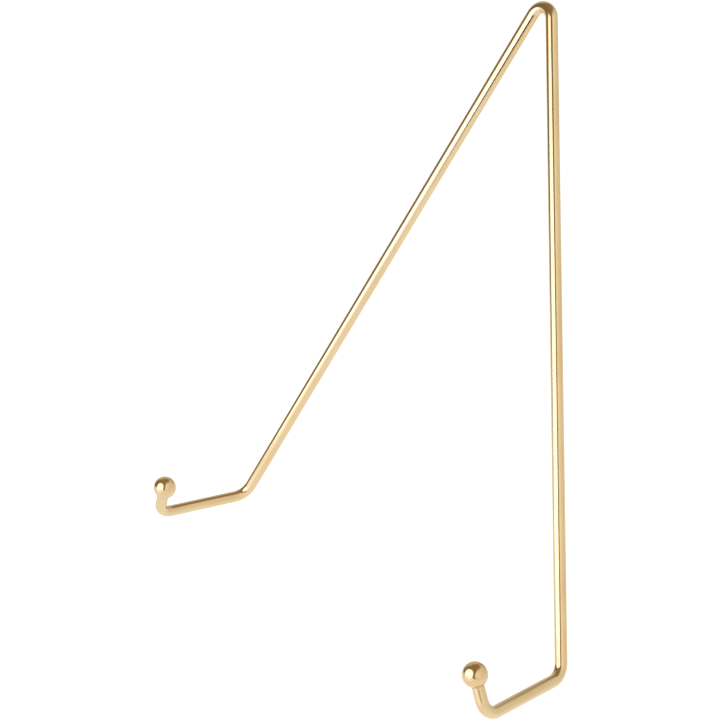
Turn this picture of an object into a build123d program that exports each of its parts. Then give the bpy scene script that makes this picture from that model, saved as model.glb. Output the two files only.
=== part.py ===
from build123d import *
from math import atan2, cos, degrees, radians, sin, sqrt, tan
import os

# A table easel of round brass wire. One long wire is bent into the leaning face and the two
# hooks that hold a plate or a book, a ball closes each end of it, and a rear leg of lighter
# wire is brazed to the back of its apex. Millimetres, +Z up, the table at Z = 0, the display
# side towards -Y, and the origin under the middle of the whole easel.

# Stock
wire_diameter = 5.0
rear_wire_diameter = 4.0
ball_diameter = 10.0

# Front wire, between the sharp corners of its centreline
foot_spacing = 205.6
face_length = 256.2
face_lean = 15.75
arm_reach = 44.8
arm_splay = 5.0
stub_length = 16.65
stub_lean_in = 22.0
stub_lean_forward = 4.5
apex_bend = 5.75
back_bend = 7.6
front_bend = 6.4

# Rear leg
rear_lean = 7.6
rear_bend = 5.0
foot_chamfer = 0.4

# Brazed joints. The filler runs through the gap between the two parts and out into a fillet.
braze_gap = 0.1
wire_past_ball_centre = 1.0
drill_point = 118.0
braze_fillets = {"left": 1.0, "right": 0.5}
apex_fillet = 0.7

# Where the back corners of the face stand, so that the origin is in the middle of the depth
back_corner_y = -26.9

wire_radius = wire_diameter / 2
rear_wire_radius = rear_wire_diameter / 2
ball_radius = ball_diameter / 2
sides = {"left": -1, "right": 1}
os.makedirs("parts", exist_ok=True)


def export(piece, name):
    piece.label = name
    export_step(piece, f"parts/{name}.step")


def stub_direction(side):
    """The way a hook's upright end points: up, in towards the other hook and a little forward."""
    return Vector(-side * tan(radians(stub_lean_in)), -tan(radians(stub_lean_forward)), 1).normalized()


def back_corner(side):
    return Vector(side * foot_spacing / 2, back_corner_y, wire_radius)


def front_corner(side):
    return back_corner(side) + Vector(side * arm_splay, -arm_reach, 0)


def ball_centre(side):
    return front_corner(side) + stub_direction(side) * stub_length


def wire_end(side):
    return ball_centre(side) + stub_direction(side) * wire_past_ball_centre


# The leaning face: its sharp apex, and the middle of the bend that rounds it
face_up = Vector(0, sin(radians(face_lean)), cos(radians(face_lean)))
face_back = Vector(0, cos(radians(face_lean)), -sin(radians(face_lean)))
apex = Vector(0, back_corner_y, wire_radius) + face_up * face_length
half_apex_angle = atan2(foot_spacing / 2, face_length)
apex_drop = apex_bend * (1 / sin(half_apex_angle) - 1)
apex_bend_middle = apex - face_up * apex_drop

# Front wire: hook, leg, apex, leg and hook in one length
with BuildPart() as front_wire:
    with BuildLine() as front_path:
        FilletPolyline(
            wire_end(-1),
            front_corner(-1),
            back_corner(-1),
            apex,
            back_corner(1),
            front_corner(1),
            wire_end(1),
            radius=[front_bend, back_bend, apex_bend, back_bend, front_bend],
        )
    with BuildSketch(Plane(origin=wire_end(-1), z_dir=front_path.line % 0)):
        Circle(wire_radius)
    sweep(path=front_path.line)
export(front_wire.part, "front_wire")

# Rear leg: straight up towards the apex, then bent forward to meet the back of the wire square
rear_corner = apex_bend_middle + face_back * apex_drop * tan(radians(face_lean + rear_lean))
rear_up = Vector(0, -sin(radians(rear_lean)), cos(radians(rear_lean)))
below_table = rear_corner - rear_up * (rear_corner.Z + rear_wire_radius) / rear_up.Z
with BuildPart() as rear_stock:
    with BuildLine() as rear_path:
        FilletPolyline(below_table, rear_corner, apex_bend_middle, radius=rear_bend)
    with BuildSketch(Plane(origin=below_table, z_dir=rear_up)):
        Circle(rear_wire_radius)
    sweep(path=rear_path.line)
    split(bisect_by=Plane.XY, keep=Keep.TOP)
    chamfer(rear_stock.faces().sort_by(Axis.Z)[0].edges(), foot_chamfer)

# Its top end is coped to sit a braze gap away from the wire
with BuildPart() as cope:
    with BuildSketch(Plane(origin=wire_end(-1), z_dir=front_path.line % 0)):
        Circle(wire_radius + braze_gap)
    sweep(path=front_path.line)
with BuildPart() as rear_leg:
    add(rear_stock.part)
    add(cope.part, mode=Mode.SUBTRACT)
export(rear_leg.part, "rear_leg")

# Braze: the filler between the rear leg and the apex, and its fillet round the joint
with BuildPart() as apex_braze:
    add(front_wire.part)
    add(rear_stock.part)
    fillet(apex_braze.edges().filter_by(GeomType.BSPLINE).sort_by(Axis.Z)[-1], apex_fillet)
    add(front_wire.part, mode=Mode.SUBTRACT)
    add(rear_leg.part, mode=Mode.SUBTRACT)
export(apex_braze.part, "apex_braze")

# Balls, each drilled to take the end of the wire, and the filler that holds it there: a pool at
# the drill's point, a sleeve round the wire, and a fillet in the corner at the mouth of the bore
bore_radius = wire_radius + braze_gap
bore_tip = wire_past_ball_centre + bore_radius / tan(radians(drill_point / 2))
mouth_depth = sqrt(ball_radius**2 - bore_radius**2)
mouth_angle = degrees(atan2(-mouth_depth, bore_radius))
for name, side in sides.items():
    fillet_radius = braze_fillets[name]
    fillet_x = wire_radius + fillet_radius
    fillet_depth = sqrt((ball_radius + fillet_radius) ** 2 - fillet_x**2)
    ball_touch_angle = degrees(atan2(-fillet_depth, fillet_x))
    fillet_touch_angle = ball_touch_angle + 180
    ball_plane = Plane(origin=ball_centre(side), z_dir=stub_direction(side))
    section_plane = Plane(
        origin=ball_plane.origin,
        x_dir=ball_plane.x_dir,
        z_dir=ball_plane.x_dir.cross(ball_plane.z_dir),
    )
    ball_axis = Axis(ball_plane.origin, ball_plane.z_dir)
    with BuildPart(ball_plane) as ball:
        Sphere(ball_radius)
        with BuildSketch(section_plane):
            with BuildLine():
                Polyline(
                    (0, -ball_radius - 1),
                    (bore_radius, -ball_radius - 1),
                    (bore_radius, wire_past_ball_centre),
                    (0, bore_tip),
                    close=True,
                )
            make_face()
        revolve(axis=ball_axis, mode=Mode.SUBTRACT)
    export(ball.part, f"{name}_ball")
    with BuildPart() as braze:
        with BuildSketch(section_plane):
            with BuildLine():
                Polyline(
                    (bore_radius, -mouth_depth),
                    (bore_radius, wire_past_ball_centre),
                    (0, bore_tip),
                    (0, wire_past_ball_centre),
                    (wire_radius, wire_past_ball_centre),
                    (wire_radius, -fillet_depth),
                )
                CenterArc((0, 0), ball_radius, mouth_angle, ball_touch_angle - mouth_angle)
                CenterArc(
                    (fillet_x, -fillet_depth),
                    fillet_radius,
                    fillet_touch_angle,
                    180 - fillet_touch_angle,
                )
            make_face()
        revolve(axis=ball_axis)
    export(braze.part, f"{name}_ball_braze")
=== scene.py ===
"""The looks of the display easel: polished, lacquered brass wire in a plain white studio."""

from math import atan2, ceil, cos, hypot, pi, radians, sin, sqrt, tan

import bpy
from mathutils import Matrix, Vector


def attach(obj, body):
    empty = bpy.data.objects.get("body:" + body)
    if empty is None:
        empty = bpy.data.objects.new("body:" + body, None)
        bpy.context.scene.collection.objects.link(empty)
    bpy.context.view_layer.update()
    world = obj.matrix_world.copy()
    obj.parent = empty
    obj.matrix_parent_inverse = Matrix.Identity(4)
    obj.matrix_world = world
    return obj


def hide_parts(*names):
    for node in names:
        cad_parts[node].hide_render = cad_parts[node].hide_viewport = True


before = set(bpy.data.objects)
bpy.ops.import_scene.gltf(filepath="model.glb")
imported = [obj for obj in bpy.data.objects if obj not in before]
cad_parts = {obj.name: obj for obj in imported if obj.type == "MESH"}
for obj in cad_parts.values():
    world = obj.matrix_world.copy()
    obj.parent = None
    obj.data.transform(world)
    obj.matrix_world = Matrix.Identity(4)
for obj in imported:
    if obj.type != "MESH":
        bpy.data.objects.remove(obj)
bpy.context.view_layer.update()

MM = 0.001
BODY = "root"
SIDES = {"left": -1, "right": 1}
WHITE = (1.0, 1.0, 1.0)
BLACK = (0.0, 0.0, 0.0)

# Sizes of the wire and the balls, as in the CAD
WIRE_RADIUS = 2.5 * MM
REAR_WIRE_RADIUS = 2.0 * MM
BALL_RADIUS = 5.0 * MM
FOOT_SPACING = 205.6 * MM
FACE_LENGTH = 256.2 * MM
FACE_LEAN = radians(15.75)
ARM_REACH = 44.8 * MM
ARM_SPLAY = 5.0 * MM
STUB_LENGTH = 16.65 * MM
STUB_LEAN_IN = radians(22.0)
STUB_LEAN_FORWARD = radians(4.5)
APEX_BEND = 5.75 * MM
BACK_BEND = 7.6 * MM
FRONT_BEND = 6.4 * MM
REAR_LEAN = radians(7.6)
REAR_BEND = 5.0 * MM
FOOT_CHAMFER = 0.4 * MM
BACK_CORNER_Y = -26.9 * MM
BRAZE_GAP = 0.1 * MM
WIRE_PAST_BALL_CENTRE = 1.0 * MM
DRILL_POINT = radians(118.0)
BRAZE_FILLETS = {"left": 1.0 * MM, "right": 0.5 * MM}

# How finely the round pieces are meshed
WIRE_SIDES = 64
BALL_SIDES = 96
ARC_STEP = radians(3.0)
RUN_STEP = 4.0 * MM

# In a turned piece, a radius below this is on the axis, and rings whose radius and height agree to
# this many decimals of a millimetre are one ring
ON_AXIS = 1e-9
RING_DECIMALS = 6

# The attribute that holds each point's place in the metal: across the wire twice and along it
GRAIN = "grain"


# ---------------------------------------------------------------- where the wire runs


def stub_direction(side):
    """The way a hook's upright end points: up, in towards the other hook and a little forward."""
    return Vector((-side * tan(STUB_LEAN_IN), -tan(STUB_LEAN_FORWARD), 1)).normalized()


def back_corner(side):
    return Vector((side * FOOT_SPACING / 2, BACK_CORNER_Y, WIRE_RADIUS))


def front_corner(side):
    return back_corner(side) + Vector((side * ARM_SPLAY, -ARM_REACH, 0))


def ball_centre(side):
    return front_corner(side) + stub_direction(side) * STUB_LENGTH


def wire_end(side):
    return ball_centre(side) + stub_direction(side) * WIRE_PAST_BALL_CENTRE


# The two legs' straight lines meet at the apex, and the bend between them passes below it
FACE_UP = Vector((0, sin(FACE_LEAN), cos(FACE_LEAN)))
FACE_BACK = Vector((0, cos(FACE_LEAN), -sin(FACE_LEAN)))
APEX = Vector((0, BACK_CORNER_Y, WIRE_RADIUS)) + FACE_UP * FACE_LENGTH
APEX_DROP = APEX_BEND * (hypot(FOOT_SPACING / 2, FACE_LENGTH) / (FOOT_SPACING / 2) - 1)
APEX_BEND_MIDDLE = APEX - FACE_UP * APEX_DROP

# The rear leg's line passes through the apex too, but its top turns in, square to the face, to the
# middle of the bend. Its full rings stop this far short of there, where its coped end begins.
REAR_CORNER = APEX_BEND_MIDDLE + FACE_BACK * APEX_DROP * tan(FACE_LEAN + REAR_LEAN)
REAR_UP = Vector((0, -sin(REAR_LEAN), cos(REAR_LEAN)))
REAR_TOP_CLEAR = 1.6 * REAR_WIRE_RADIUS


# ---------------------------------------------------------------- meshes


class Stations:
    """Points along a wire, each with the two directions that span its section."""

    def __init__(self, start, along):
        across = along.orthogonal().normalized()
        self.rows = [(start.copy(), across, along.cross(across).normalized())]
        self.travel = [0.0]

    def move(self, point, turn, length):
        _, across, other = self.rows[-1]
        self.rows.append((point, turn @ across, turn @ other))
        self.travel.append(self.travel[-1] + length)

    def run_to(self, end):
        start = self.rows[-1][0]
        length = (end - start).length
        steps = max(1, ceil(length / RUN_STEP))
        for i in range(1, steps + 1):
            self.move(start.lerp(end, i / steps), Matrix.Identity(3), length / steps)

    def bend(self, centre, axis, angle, radius):
        spoke = self.rows[-1][0] - centre
        steps = max(2, ceil(angle / ARC_STEP))
        turn = Matrix.Rotation(angle / steps, 3, axis)
        for _ in range(steps):
            spoke = turn @ spoke
            self.move(centre + spoke, turn, radius * angle / steps)


def bent_wire(corners, bends):
    """Stations along straight runs joined by arcs of the given radii."""
    along = [(b - a).normalized() for a, b in zip(corners, corners[1:])]
    stations = Stations(corners[0], along[0])
    for corner, radius, into, out_of in zip(corners[1:], bends, along, along[1:]):
        angle = into.angle(out_of)
        axis = into.cross(out_of).normalized()
        start = corner - into * radius * tan(angle / 2)
        stations.run_to(start)
        stations.bend(start + axis.cross(into) * radius, axis, angle, radius)
    stations.run_to(corners[-1])
    return stations


class Shell:
    """Rings of points joined into a closed skin. Each band between two rings has its own normals."""

    def __init__(self, sides):
        self.sides = sides
        self.circle = [(cos(2 * pi * i / sides), sin(2 * pi * i / sides)) for i in range(sides)]
        self.vertices = []
        self.grain = []
        self.faces = []
        self.normals = []

    def outward(self, across, other):
        """The directions from a ring's middle to its points."""
        return [across * c + other * s for c, s in self.circle]

    def ring(self, points, grain):
        self.vertices += points
        self.grain += grain
        return len(self.vertices) - self.sides

    def point(self, point, grain):
        self.vertices.append(point)
        self.grain.append(grain)
        return len(self.vertices) - 1

    def band(self, low, high, low_normals, high_normals):
        for i in range(self.sides):
            j = (i + 1) % self.sides
            self.faces.append((low + i, low + j, high + j, high + i))
            self.normals += [low_normals[i], low_normals[j], high_normals[j], high_normals[i]]

    def cap(self, ring, normal, upward):
        """A flat end across a ring: the last ring's if it is upward, and the first's if not."""
        loop = [ring + i for i in range(self.sides)]
        self.faces.append(loop if upward else loop[::-1])
        self.normals += [normal] * self.sides

    def fan(self, ring, tip, ring_normals, tip_normal, upward):
        """Faces between a ring and a tip, which comes after it if upward, and before it if not."""
        for i in range(self.sides):
            j = (i + 1) % self.sides
            face = (ring + i, ring + j, tip)
            normals = [ring_normals[i], ring_normals[j], tip_normal]
            self.faces.append(face if upward else face[::-1])
            self.normals += normals if upward else normals[::-1]

    def tube(self, stations, radius, count=None):
        """The rings of a round wire, or its first few, and each ring's outward directions."""
        rings = []
        for (middle, across, other), travel in zip(stations.rows[:count], stations.travel):
            out = self.outward(across, other)
            grain = [(radius * c, radius * s, travel) for c, s in self.circle]
            rings.append((self.ring([middle + way * radius for way in out], grain), out))
        return rings

    def join(self, rings):
        for (low, low_out), (high, high_out) in zip(rings, rings[1:]):
            self.band(low, high, low_out, high_out)


def new_piece(name, shell, slot, node):
    """A shell as a mesh with its exact normals and its grain, in place of a CAD node."""
    mesh = bpy.data.meshes.new(name)
    mesh.from_pydata(shell.vertices, [], shell.faces)
    mesh.update()
    mesh.shade_smooth()
    mesh.normals_split_custom_set(shell.normals)
    attribute = mesh.attributes.new(GRAIN, "FLOAT_VECTOR", "POINT")
    attribute.data.foreach_set("vector", [x for place in shell.grain for x in place])
    piece = bpy.data.objects.new(name, mesh)
    bpy.context.scene.collection.objects.link(piece)
    piece.data.materials.append(MATERIALS[slot])
    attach(piece, BODY)
    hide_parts(node)


def make_front_wire():
    """One length of wire: hook, leg, apex, leg and hook. Its ends sit in the balls' bores."""
    corners = [
        wire_end(-1),
        front_corner(-1),
        back_corner(-1),
        APEX,
        back_corner(1),
        front_corner(1),
        wire_end(1),
    ]
    stations = bent_wire(corners, [FRONT_BEND, BACK_BEND, APEX_BEND, BACK_BEND, FRONT_BEND])
    shell = Shell(WIRE_SIDES)
    rings = shell.tube(stations, WIRE_RADIUS)
    shell.join(rings)
    shell.cap(rings[0][0], -(corners[1] - corners[0]).normalized(), False)
    shell.cap(rings[-1][0], (corners[-1] - corners[-2]).normalized(), True)
    new_piece("front_wire_polished", shell, "wire_brass", "front_wire")


def coped_ring(shell, stations):
    """The top of the rear leg, where each side of it stops a braze gap away from the apex bend."""
    middle, across, other = stations.rows[-1]
    centre = APEX - FACE_UP * (APEX_BEND + APEX_DROP)
    reach = WIRE_RADIUS + BRAZE_GAP
    points = []
    grain = []
    for c, s in shell.circle:
        side = middle + (across * c + other * s) * REAR_WIRE_RADIUS
        spoke = side - centre
        flat = spoke - FACE_BACK * spoke.dot(FACE_BACK)
        stand_off = sqrt(reach**2 - (flat.length - APEX_BEND) ** 2)
        points.append(centre + flat + FACE_BACK * stand_off)
        travel = stations.travel[-1] - stand_off
        grain.append((REAR_WIRE_RADIUS * c, REAR_WIRE_RADIUS * s, travel))
    return shell.ring(points, grain)


def make_rear_leg():
    """A lighter wire from a flat, chamfered foot up to the back of the apex, where it is coped."""
    foot = REAR_CORNER - REAR_UP * REAR_CORNER.z / REAR_UP.z
    stations = bent_wire([foot, REAR_CORNER, APEX_BEND_MIDDLE], [REAR_BEND])
    shell = Shell(WIRE_SIDES)
    clear = [(row[0] - APEX_BEND_MIDDLE).length > REAR_TOP_CLEAR for row in stations.rows]
    rings = shell.tube(stations, REAR_WIRE_RADIUS, sum(clear))

    # The foot is cut flat to the table, and its edge is broken all round
    low, out = rings[0]
    sole = []
    for i, way in enumerate(out):
        side = shell.vertices[low + i]
        down = side.z / REAR_UP.z
        shell.vertices[low + i] = side - REAR_UP * (down - FOOT_CHAMFER)
        sole.append(side - REAR_UP * down - way * FOOT_CHAMFER)
    sole = [Vector((p.x, p.y, 0)) for p in sole]
    sole_ring = shell.ring(sole, [shell.grain[low + i] for i in range(shell.sides)])
    bevel = [(way - REAR_UP).normalized() for way in out]
    shell.band(sole_ring, low, bevel, bevel)
    shell.cap(sole_ring, Vector((0, 0, -1)), False)

    # The top end follows the round of the wire
    shell.join(rings)
    top = coped_ring(shell, stations)
    last, last_out = rings[-1]
    shell.band(last, top, last_out, shell.outward(*stations.rows[-1][1:]))
    seat = APEX_BEND_MIDDLE + FACE_BACK * (WIRE_RADIUS + BRAZE_GAP)
    tip = shell.point(seat, (0, 0, stations.travel[-1]))
    shell.fan(top, tip, [-FACE_BACK] * shell.sides, -FACE_BACK, True)
    new_piece("rear_leg_polished", shell, "rear_wire_brass", "rear_leg")


def turned(profile, base, axis):
    """A shell of revolution. profile holds (radius, height, its slope's outward normal) rows, or
    None between two faces that meet at an edge, from the bottom on the outside round to the end."""
    across = axis.orthogonal().normalized()
    shell = Shell(BALL_SIDES)
    out = shell.outward(across, axis.cross(across).normalized())
    previous = None
    made = {}

    def at(radius, height):
        key = (round(radius / MM, RING_DECIMALS), round(height / MM, RING_DECIMALS))
        if key not in made:
            if radius < ON_AXIS:
                made[key] = shell.point(base + axis * height, (0, 0, height))
            else:
                points = [base + way * radius + axis * height for way in out]
                grain = [(radius * c, radius * s, height) for c, s in shell.circle]
                made[key] = shell.ring(points, grain)
        return made[key]

    for row in profile:
        if row is None:
            previous = None
            continue
        radius, height, (outward, upward) = row
        ring = at(radius, height)
        normals = [way * outward + axis * upward for way in out]
        if previous is not None:
            low, low_radius, low_normals = previous
            tip_normal = axis if upward > 0 else -axis
            if radius < ON_AXIS:
                shell.fan(low, ring, low_normals, tip_normal, True)
            elif low_radius < ON_AXIS:
                shell.fan(ring, low, normals, tip_normal, False)
            else:
                shell.band(low, ring, low_normals, normals)
        previous = (ring, radius, normals)
    return shell


def arc_rows(centre, radius, start, end, hollow=False):
    """Profile rows along an arc, from one angle to another. A hollow arc's metal is outside it."""
    steps = max(3, ceil(abs(end - start) / ARC_STEP))
    rows = []
    for i in range(steps + 1):
        angle = start + (end - start) * i / steps
        c, s = cos(angle), sin(angle)
        normal = (-c, -s) if hollow else (c, s)
        rows.append((max(0.0, centre[0] + radius * c), centre[1] + radius * s, normal))
    return rows


def flat_rows(start, end):
    """Profile rows along a straight face. The metal is on the left of the way from start to end."""
    run, rise = end[0] - start[0], end[1] - start[1]
    length = hypot(run, rise)
    normal = (rise / length, -run / length)
    return [(*start, normal), (*end, normal)]


# A ball's bore, by radius and height from the ball's centre: its drilled tip, where its wall ends
# and its mouth in the ball's surface
BORE_RADIUS = WIRE_RADIUS + BRAZE_GAP
BORE_TIP = (0, WIRE_PAST_BALL_CENTRE + BORE_RADIUS / tan(DRILL_POINT / 2))
BORE_END = (BORE_RADIUS, WIRE_PAST_BALL_CENTRE)
MOUTH_ANGLE = atan2(-sqrt(BALL_RADIUS**2 - BORE_RADIUS**2), BORE_RADIUS)
MOUTH = (BORE_RADIUS, BALL_RADIUS * sin(MOUTH_ANGLE))


def make_ball(name, side):
    """A ball with a drilled bore, turned smooth."""
    profile = arc_rows((0, 0), BALL_RADIUS, MOUTH_ANGLE, pi / 2)
    profile += [None]
    profile += flat_rows(BORE_TIP, BORE_END)
    profile += [None]
    profile += flat_rows(BORE_END, MOUTH)
    shell = turned(profile, ball_centre(side), stub_direction(side))
    new_piece(f"{name}_ball_polished", shell, "ball_brass", f"{name}_ball")


def make_ball_braze(name, side):
    """The filler of a ball's joint: its fillet outside, its sleeve and its pool in the bore."""
    fillet = BRAZE_FILLETS[name]
    fillet_x = WIRE_RADIUS + fillet
    fillet_y = -sqrt((BALL_RADIUS + fillet) ** 2 - fillet_x**2)
    touch = atan2(fillet_y, fillet_x)
    wire_rim = (WIRE_RADIUS, WIRE_PAST_BALL_CENTRE)
    profile = arc_rows((fillet_x, fillet_y), fillet, pi, touch + pi, hollow=True)
    profile += [None]
    profile += arc_rows((0, 0), BALL_RADIUS, touch, MOUTH_ANGLE, hollow=True)
    profile += [None]
    profile += flat_rows(MOUTH, BORE_END)
    profile += [None]
    profile += flat_rows(BORE_END, BORE_TIP)
    profile += [None]
    profile += flat_rows((0, WIRE_PAST_BALL_CENTRE), wire_rim)
    profile += [None]
    profile += flat_rows(wire_rim, (WIRE_RADIUS, fillet_y))
    shell = turned(profile, ball_centre(side), stub_direction(side))
    new_piece(f"{name}_ball_fillet", shell, "braze_alloy", f"{name}_ball_braze")


def finish_apex_braze():
    """The filler of the apex joint keeps its CAD shape and gets the look of the other fillets."""
    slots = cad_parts["apex_braze"].data.materials
    slots.clear()
    slots.append(MATERIALS["braze_alloy"])


# ---------------------------------------------------------------- materials


class Nodes:
    """Short ways to add and join the nodes of a material, a light or the world."""

    def __init__(self, tree):
        self.tree = tree
        tree.nodes.clear()

    def add(self, kind, **values):
        node = self.tree.nodes.new(kind)
        for key, value in values.items():
            setattr(node, key, value)
        return node

    def join(self, output, socket):
        self.tree.links.new(output, socket)

    def noise(self, place, scale, detail, roughness=0.5):
        """Noise that has its own scale in each of three directions."""
        stretch = self.add("ShaderNodeMapping")
        stretch.inputs["Scale"].default_value = scale
        self.join(place, stretch.inputs["Vector"])
        node = self.add("ShaderNodeTexNoise")
        node.inputs["Scale"].default_value = 1.0
        node.inputs["Detail"].default_value = detail
        node.inputs["Roughness"].default_value = roughness
        self.join(stretch.outputs["Vector"], node.inputs["Vector"])
        return node.outputs["Fac"]

    def spread(self, value, low, high, to_low, to_high):
        """A value's range mapped to another, and held at its ends."""
        node = self.add("ShaderNodeMapRange")
        node.inputs["From Min"].default_value = low
        node.inputs["From Max"].default_value = high
        node.inputs["To Min"].default_value = to_low
        node.inputs["To Max"].default_value = to_high
        self.join(value, node.inputs["Value"])
        return node.outputs["Result"]

    def step(self, value, low, high, to_low=0.0, to_high=1.0):
        """The same with a smooth start and end."""
        result = self.spread(value, low, high, to_low, to_high)
        result.node.interpolation_type = "SMOOTHSTEP"
        return result

    def blend(self, fac, first, second):
        """A colour between two, each a colour or a socket."""
        node = self.add("ShaderNodeMix", data_type="RGBA")
        self.join(fac, node.inputs["Factor"])
        for name, value in (("A", first), ("B", second)):
            socket = next(s for s in node.inputs if s.name == name and s.type == "RGBA")
            if isinstance(value, tuple):
                socket.default_value = (*value, 1.0)
            else:
                self.join(value, socket)
        return next(s for s in node.outputs if s.type == "RGBA")

    def sum(self, first, second):
        node = self.add("ShaderNodeMath", operation="ADD")
        self.join(first, node.inputs[0])
        self.join(second, node.inputs[1])
        return node.outputs[0]

    def times(self, value, factor):
        """A value times a number or a socket."""
        node = self.add("ShaderNodeMath", operation="MULTIPLY")
        self.join(value, node.inputs[0])
        if isinstance(factor, float):
            node.inputs[1].default_value = factor
        else:
            self.join(factor, node.inputs[1])
        return node.outputs[0]

    def bump(self, height, distance, strength, below=None):
        node = self.add("ShaderNodeBump")
        node.inputs["Distance"].default_value = distance
        node.inputs["Strength"].default_value = strength
        self.join(height, node.inputs["Height"])
        if below is not None:
            self.join(below, node.inputs["Normal"])
        return node.outputs["Normal"]


# How fine the marks on the metal are, per metre, in the grain's three directions
DRAWN_LINES = (2400.0, 2400.0, 55.0)
TURNED_LINES = (60.0, 60.0, 3200.0)
CAST_SPECKS = (900.0, 900.0, 900.0)
CLOTH_MARKS = (2600.0, 2600.0, 900.0)
LACQUER_CLOUDS = (90.0, 90.0, 45.0)

# The levels of a noise between which its effect grows from nothing to its most
TARNISH_LEVELS = (0.42, 0.72)
TARNISH_MOST = 0.70
STREAK_LEVELS = (0.52, 0.78)
STREAK_MOST = 0.32
CLOTH_LEVELS = (0.35, 0.75)
CLOUD_LEVELS = (0.3, 0.7)

# Shares of a metal's own roughness: its range under the lacquer's clouds, and the cloth's addition
CLOUD_ROUGHNESS = (0.8, 1.2)
CLOTH_ROUGHNESS = 0.5

# How far a mark's edge wanders, as a share of the length over which it fades
RAGGED = 0.6

# The relief of the lines and of the cloth's marks, whose depth is a share of the lines'
LINE_STRENGTH = 0.5
CLOTH_STRENGTH = 0.35
CLOTH_DEPTH = 0.25

# The clear lacquer over the metal
LACQUER_WEIGHT = 0.25
LACQUER_ROUGHNESS = 0.06
LACQUER_IOR = 1.5


def brass(name, clean, tarnished, roughness, line_scale, line_depth, grained=True, mark=None):
    """Polished, lacquered brass. line_scale is how fine the marks of its making are, and line_depth
    how deep. Cast metal has no grain, so its marks follow its place instead. A mark (the foot's
    wear, and the painted shade round a ball's mouth) covers the start of the grain: it fades from
    one place to another along it, and has a colour and an added roughness."""
    material = bpy.data.materials.new(name)
    material.use_nodes = True
    nodes = Nodes(material.node_tree)
    output = nodes.add("ShaderNodeOutputMaterial")
    shader = nodes.add("ShaderNodeBsdfPrincipled")
    if grained:
        grain = nodes.add("ShaderNodeAttribute", attribute_name=GRAIN).outputs["Vector"]
    else:
        grain = nodes.add("ShaderNodeTexCoord").outputs["Object"]

    # Marks of drawing or turning, and finer ones from the polishing cloth
    lines = nodes.noise(grain, line_scale, detail=3.0, roughness=0.6)
    cloth = nodes.noise(grain, CLOTH_MARKS, detail=2.0)

    # Thicker and thinner lacquer, and the faint darkening under it
    cloud = nodes.noise(grain, LACQUER_CLOUDS, detail=4.0)
    tarnish = nodes.spread(cloud, *TARNISH_LEVELS, 0.0, TARNISH_MOST)
    colour = nodes.blend(tarnish, clean, tarnished)
    streak = nodes.spread(lines, *STREAK_LEVELS, 0.0, STREAK_MOST)
    colour = nodes.blend(streak, colour, tarnished)
    smooth = nodes.spread(cloud, *CLOUD_LEVELS, *(roughness * share for share in CLOUD_ROUGHNESS))
    rubbed = nodes.spread(cloth, *CLOTH_LEVELS, 0.0, roughness * CLOTH_ROUGHNESS)
    rough = nodes.sum(smooth, rubbed)

    # The mark is the foot's wear on the rear leg, and painted shade in the seam round each ball's
    # mouth
    if mark is not None:
        full, gone, mark_colour, mark_roughness = mark
        ragged = (gone - full) * RAGGED
        place = nodes.add("ShaderNodeSeparateXYZ")
        nodes.join(grain, place.inputs["Vector"])
        wander = nodes.spread(cloud, *CLOUD_LEVELS, -ragged, ragged)
        marked = nodes.spread(nodes.sum(place.outputs["Z"], wander), full, gone, 1.0, 0.0)
        colour = nodes.blend(marked, colour, mark_colour)
        rough = nodes.sum(rough, nodes.times(marked, mark_roughness))
    nodes.join(colour, shader.inputs["Base Color"])
    nodes.join(rough, shader.inputs["Roughness"])

    scored = nodes.bump(lines, line_depth, LINE_STRENGTH)
    rubbed_over = nodes.bump(cloth, line_depth * CLOTH_DEPTH, CLOTH_STRENGTH, scored)
    nodes.join(rubbed_over, shader.inputs["Normal"])

    shader.inputs["Metallic"].default_value = 1.0
    shader.inputs["Coat Weight"].default_value = LACQUER_WEIGHT
    shader.inputs["Coat Roughness"].default_value = LACQUER_ROUGHNESS
    shader.inputs["Coat IOR"].default_value = LACQUER_IOR
    nodes.join(shader.outputs["BSDF"], output.inputs["Surface"])
    return material


# The painted shade in the seam round a ball's mouth, and the worn foot: from where to where along
# the grain the mark fades, its colour and its added roughness
BALL_SEAM_PAINTED_SHADE = (-4.07 * MM, -4.01 * MM, (0.10, 0.05, 0.02), 0.1)
FOOT_WEAR = (0.6 * MM, 3.4 * MM, (0.60, 0.42, 0.21), 0.18)

MATERIALS = {
    "wire_brass": brass(
        "wire_brass",
        clean=(0.84, 0.65, 0.385),
        tarnished=(0.76, 0.54, 0.27),
        roughness=0.13,
        line_scale=DRAWN_LINES,
        line_depth=0.006 * MM,
    ),
    "rear_wire_brass": brass(
        "rear_wire_brass",
        clean=(0.835, 0.64, 0.375),
        tarnished=(0.74, 0.52, 0.26),
        roughness=0.16,
        line_scale=DRAWN_LINES,
        line_depth=0.007 * MM,
        mark=FOOT_WEAR,
    ),
    "ball_brass": brass(
        "ball_brass",
        clean=(0.86, 0.655, 0.395),
        tarnished=(0.78, 0.55, 0.28),
        roughness=0.13,
        line_scale=TURNED_LINES,
        line_depth=0.003 * MM,
        # Painted shade darkens the seam round the ball's mouth
        mark=BALL_SEAM_PAINTED_SHADE,
    ),
    "braze_alloy": brass(
        "braze_alloy",
        clean=(0.81, 0.61, 0.36),
        tarnished=(0.68, 0.47, 0.25),
        roughness=0.22,
        line_scale=CAST_SPECKS,
        line_depth=0.008 * MM,
        grained=False,
    ),
}


# ---------------------------------------------------------------- the studio

# The camera: its place, its lens, and in degrees how far it turns left from +Y, looks down and
# rolls anticlockwise
CAMERA_PLACE = (0.54510, -0.51733, 0.37104)
CAMERA_LENS = 95.75
CAMERA_SENSOR = 36.0
CAMERA_TURN = 49.343
CAMERA_DIP = 20.269
CAMERA_ROLL = 2.774

FLOOR_HALF = 10.0
FLOOR_COLOUR = (0.6, 0.6, 0.6)
FLOOR_GLOW = 0.82

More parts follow.
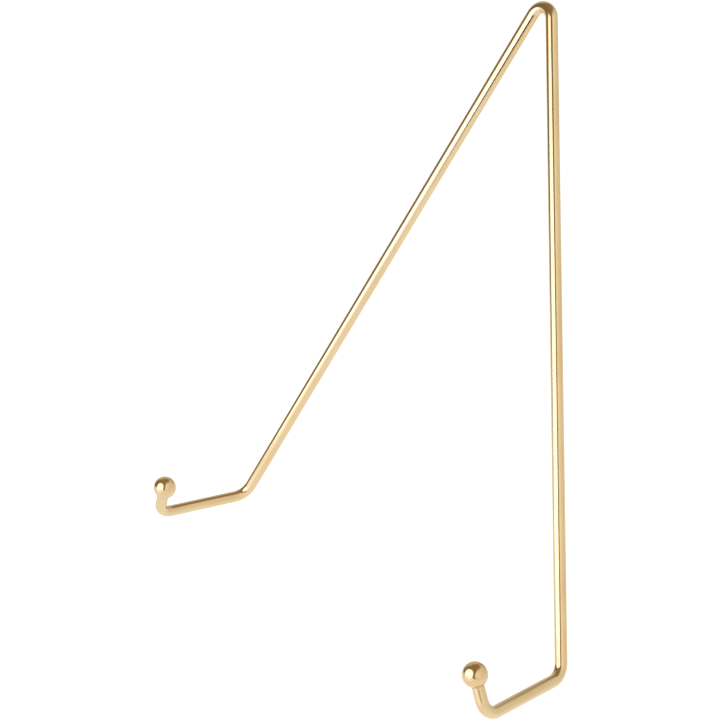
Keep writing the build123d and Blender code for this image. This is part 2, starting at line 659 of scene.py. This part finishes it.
# The key light: an upright softbox with a rounded top that leans towards +X
KEY_PLACE = Vector((0.080, -0.604, 0.41))
KEY_FACING = Vector((0.51, 0.86, 0.0))
KEY_WIDTH = 1.10
KEY_HEIGHT = 0.82
KEY_HALF_WIDTH = 0.46
KEY_SHOULDER = 0.30
KEY_CROWN = 0.50
KEY_LEAN = 0.40
KEY_MIDDLE_RADIANCE = 2.3
KEY_EDGE_RADIANCE = 1.75

# Where the light fades out, as shares of the way from its middle to its outline
KEY_SOFT_EDGE = (0.86, 1.09)

# What is dark round the camera: the floor past the table's near edge, whoever stands there, and a
# strip on the table between them and the right hook, which is a painted shadow
SHADE_FLOOR = [
    (0.40, -0.165, 0),
    (0.21, -0.35, 0),
    (0.51, -0.91, 0),
    (0.95, -0.47, 0),
]
SHADE_UPRIGHT = [
    (0.54, -0.447, 0),
    (0.375, -0.69, 0),
    (0.39, -0.67, 0.2),
    (0.375, -0.69, 1),
    (0.62, -0.33, 1),
    (0.505, -0.50, 0.2),
]
# A painted shadow on the table beside the right hook, seen only in reflection
SHADE_STRIP = [
    (0.178, -0.146, 0),
    (0.168, -0.158, 0),
    (0.33, -0.29, 0),
    (0.35, -0.27, 0),
]
SHADE_FLOOR_COLOUR = (0.10, 0.06, 0.03)
SHADE_UPRIGHT_COLOUR = (0.24, 0.165, 0.095)

# The room's colours. The front of the table's edge is lit by a cool window.
WALL_TINT = (1.05, 1.0, 0.90)
DIM = (0.20, 0.165, 0.12)
CEILING = (0.30, 0.215, 0.10)
WINDOW = (1.39, 1.42, 1.52)
WINDOW_SIDE = (1.30, 1.32, 1.40)


def pale(level):
    return tuple(level * t for t in WALL_TINT)


def white(level):
    return (level, level, level)


# Each list runs round the compass, in degrees: 0 is behind the easel, 90 to its right
WALLS = [
    (-180, DIM),
    (-104, DIM),
    (-96, pale(0.38)),
    (-74, pale(0.56)),
    (-50, pale(0.60)),
    (-26, pale(0.46)),
    (-12, pale(0.46)),
    (10, pale(0.70)),
    (34, pale(0.77)),
    (70, pale(0.82)),
    (104, pale(0.98)),
    (130, pale(1.00)),
    (140, DIM),
    (180, DIM),
]
TABLE_EDGE = [
    (-180, WINDOW),
    (-150, WINDOW_SIDE),
    (-130, white(0.92)),
    (-100, white(0.76)),
    (-60, white(0.90)),
    (20, white(0.85)),
    (100, white(0.90)),
    (135, white(0.95)),
    (155, white(1.10)),
    (170, WINDOW_SIDE),
    (180, WINDOW),
]

# How far below the horizon the table's edge lies, and how high the walls reach, in degrees
TABLE_EDGE_DROP = [
    (-180, 1.0),
    (-146, 1.0),
    (-128, 6.0),
    (-96, 8.0),
    (-60, 4.0),
    (180, 1.0),
]
WALL_TOP = [
    (-180, 50),
    (-10, 50),
    (22, 53),
    (40, 58),
    (60, 64),
    (88, 64),
    (106, 58),
    (125, 50),
    (180, 50),
]

# How far each of the two edges blurs to either side, as a sine of elevation
TABLE_EDGE_SOFTNESS = 0.05
WALL_TOP_SOFTNESS = 0.10

# Elevations, in degrees, between which the table's white middle gives way to what lies round it
TABLE_FADE = (-50, -6)


def stage_piece(name, mesh, material):
    piece = bpy.data.objects.new(name, mesh)
    bpy.context.scene.collection.objects.link(piece)
    mesh.materials.append(material)
    return piece


def glowing(name, colour, glow, strength):
    """A matt material of one colour that also gives light of its own."""
    material = bpy.data.materials.new(name)
    material.use_nodes = True
    shader = material.node_tree.nodes["Principled BSDF"]
    shader.inputs["Base Color"].default_value = (*colour, 1.0)
    shader.inputs["Roughness"].default_value = 1.0
    shader.inputs["Specular IOR Level"].default_value = 0.0
    shader.inputs["Emission Color"].default_value = (*glow, 1.0)
    shader.inputs["Emission Strength"].default_value = strength
    return material


def make_floor():
    """A plain white floor. Part of its light is its own, as on a lit white table, so that shadows
    stay faint. The brass reflects the room's lower half instead, which is the same white."""
    half = FLOOR_HALF
    mesh = bpy.data.meshes.new("floor")
    corners = [(-half, -half, 0), (half, -half, 0), (half, half, 0), (-half, half, 0)]
    mesh.from_pydata(corners, [], [range(len(corners))])
    floor = stage_piece("floor", mesh, glowing("floor", FLOOR_COLOUR, WHITE, FLOOR_GLOW))
    floor.visible_glossy = False


def make_shade(name, corners, colour):
    """Something dark which only shows as a reflection, such as a dark thing beside the camera and
    the painted shadow on the table.
    """
    mesh = bpy.data.meshes.new(name)
    mesh.from_pydata(corners, [], [range(len(corners))])
    shade = stage_piece(name, mesh, glowing(name, BLACK, colour, 1.0))
    shade.visible_camera = False
    shade.visible_diffuse = False
    shade.visible_shadow = False


def make_key_light():
    """A large soft light in front of the easel, to the left of the camera and down to the table.
    Its outline is upright to the shoulder and elliptical above."""
    light = bpy.data.lights.new("key", "AREA")
    light.shape = "RECTANGLE"
    light.size = KEY_WIDTH
    light.size_y = KEY_HEIGHT
    light.use_nodes = True

    # With this power, the strength that the nodes give is the radiance
    light.energy = pi * KEY_WIDTH * KEY_HEIGHT

    nodes = Nodes(light.node_tree)
    output = nodes.add("ShaderNodeOutputLight")
    place = nodes.add("ShaderNodeNewGeometry").outputs["Parametric"]
    parts = nodes.add("ShaderNodeSeparateXYZ")
    nodes.join(place, parts.inputs["Vector"])
    across = nodes.spread(parts.outputs["X"], 0.0, 1.0, -KEY_WIDTH / 2, KEY_WIDTH / 2)
    shoulder = KEY_SHOULDER / KEY_HEIGHT
    up = nodes.spread(parts.outputs["Y"], shoulder, 1.0, 0.0, KEY_HEIGHT - KEY_SHOULDER)
    leaning = nodes.sum(across, nodes.times(up, -KEY_LEAN))
    outline = nodes.add("ShaderNodeCombineXYZ")
    nodes.join(nodes.times(leaning, 1 / KEY_HALF_WIDTH), outline.inputs["X"])
    nodes.join(nodes.times(up, 1 / KEY_CROWN), outline.inputs["Y"])
    length = nodes.add("ShaderNodeVectorMath", operation="LENGTH")
    nodes.join(outline.outputs["Vector"], length.inputs[0])
    reach = length.outputs["Value"]
    level = nodes.spread(reach, 0.0, 1.0, KEY_MIDDLE_RADIANCE, KEY_EDGE_RADIANCE)
    inside = nodes.step(reach, *KEY_SOFT_EDGE, 1.0, 0.0)
    glow = nodes.add("ShaderNodeEmission")
    nodes.join(nodes.times(level, inside), glow.inputs["Strength"])
    nodes.join(glow.outputs["Emission"], output.inputs["Surface"])
    key = bpy.data.objects.new("key", light)
    key.location = KEY_PLACE
    key.rotation_euler = (-KEY_FACING).to_track_quat("Z", "Y").to_euler()
    key.visible_camera = False
    bpy.context.scene.collection.objects.link(key)


def compass_ramp(nodes, azimuth, stops):
    """A colour that changes round the compass, from (degrees from +Y towards +X, colour) rows."""
    node = nodes.add("ShaderNodeValToRGB")
    elements = node.color_ramp.elements
    elements.remove(elements[1])
    elements[0].position = 0.0
    elements[0].color = (*stops[0][1], 1.0)
    for angle, colour in stops[1:]:
        elements.new((angle + 180) / 360).color = (*colour, 1.0)
    nodes.join(azimuth, node.inputs["Fac"])
    return node.outputs["Color"]


def make_world():
    """The room: a white table below, pale walls that are brightest to the right and dim in front,
    and a dim ceiling. The camera sees plain white."""
    world = bpy.data.worlds.new("room")
    bpy.context.scene.world = world
    world.use_nodes = True
    nodes = Nodes(world.node_tree)
    output = nodes.add("ShaderNodeOutputWorld")
    place = nodes.add("ShaderNodeTexCoord").outputs["Generated"]
    parts = nodes.add("ShaderNodeSeparateXYZ")
    nodes.join(place, parts.inputs["Vector"])
    height = parts.outputs["Z"]
    turn = nodes.add("ShaderNodeMath", operation="ARCTAN2")
    nodes.join(parts.outputs["X"], turn.inputs[0])
    nodes.join(parts.outputs["Y"], turn.inputs[1])
    azimuth = nodes.spread(turn.outputs[0], -pi, pi, 0.0, 1.0)

    def sines(stops):
        """Elevations round the compass, as their sines."""
        levels = [(angle, white(sin(radians(elevation)))) for angle, elevation in stops]
        return compass_ramp(nodes, azimuth, levels)

    walls = compass_ramp(nodes, azimuth, WALLS)
    table_edge = compass_ramp(nodes, azimuth, TABLE_EDGE)
    over_table = nodes.sum(height, sines(TABLE_EDGE_DROP))
    past_edge = nodes.step(over_table, -TABLE_EDGE_SOFTNESS, TABLE_EDGE_SOFTNESS)
    around = nodes.blend(past_edge, table_edge, walls)
    far = nodes.step(height, *(sin(radians(e)) for e in TABLE_FADE))
    lower = nodes.blend(far, WHITE, around)
    over_wall = nodes.sum(height, nodes.times(sines(WALL_TOP), -1.0))
    past_wall = nodes.step(over_wall, -WALL_TOP_SOFTNESS, WALL_TOP_SOFTNESS)
    room = nodes.blend(past_wall, lower, CEILING)

    lit = nodes.add("ShaderNodeBackground")
    nodes.join(room, lit.inputs["Color"])
    seen = nodes.add("ShaderNodeBackground")
    seen.inputs["Color"].default_value = (*WHITE, 1.0)
    rays = nodes.add("ShaderNodeLightPath")
    mix = nodes.add("ShaderNodeMixShader")
    nodes.join(rays.outputs["Is Camera Ray"], mix.inputs["Fac"])
    nodes.join(lit.outputs["Background"], mix.inputs[1])
    nodes.join(seen.outputs["Background"], mix.inputs[2])
    nodes.join(mix.outputs["Shader"], output.inputs["Surface"])


def make_camera():
    """A long lens, a little above the easel, in front of it and well to its right."""
    data = bpy.data.cameras.new("camera")
    data.lens = CAMERA_LENS
    data.sensor_width = CAMERA_SENSOR
    camera = bpy.data.objects.new("camera", data)
    aim = Matrix.Rotation(radians(CAMERA_TURN), 3, "Z")
    aim = aim @ Matrix.Rotation(radians(90 - CAMERA_DIP), 3, "X")
    aim = aim @ Matrix.Rotation(radians(CAMERA_ROLL), 3, "Z")
    camera.matrix_world = Matrix.Translation(CAMERA_PLACE) @ aim.to_4x4()
    bpy.context.scene.collection.objects.link(camera)
    bpy.context.scene.camera = camera


make_front_wire()
make_rear_leg()
for side_name, side_sign in SIDES.items():
    make_ball(side_name, side_sign)
    make_ball_braze(side_name, side_sign)
finish_apex_braze()

make_floor()
make_shade("shade_floor", SHADE_FLOOR, SHADE_FLOOR_COLOUR)
make_shade("shade_strip", SHADE_STRIP, SHADE_FLOOR_COLOUR)
make_shade("shade_upright", SHADE_UPRIGHT, SHADE_UPRIGHT_COLOUR)
make_world()
make_key_light()
make_camera()

# Colours go straight to the picture, with no film look
bpy.context.scene.view_settings.view_transform = "Standard"
bpy.context.scene.view_settings.look = "None"
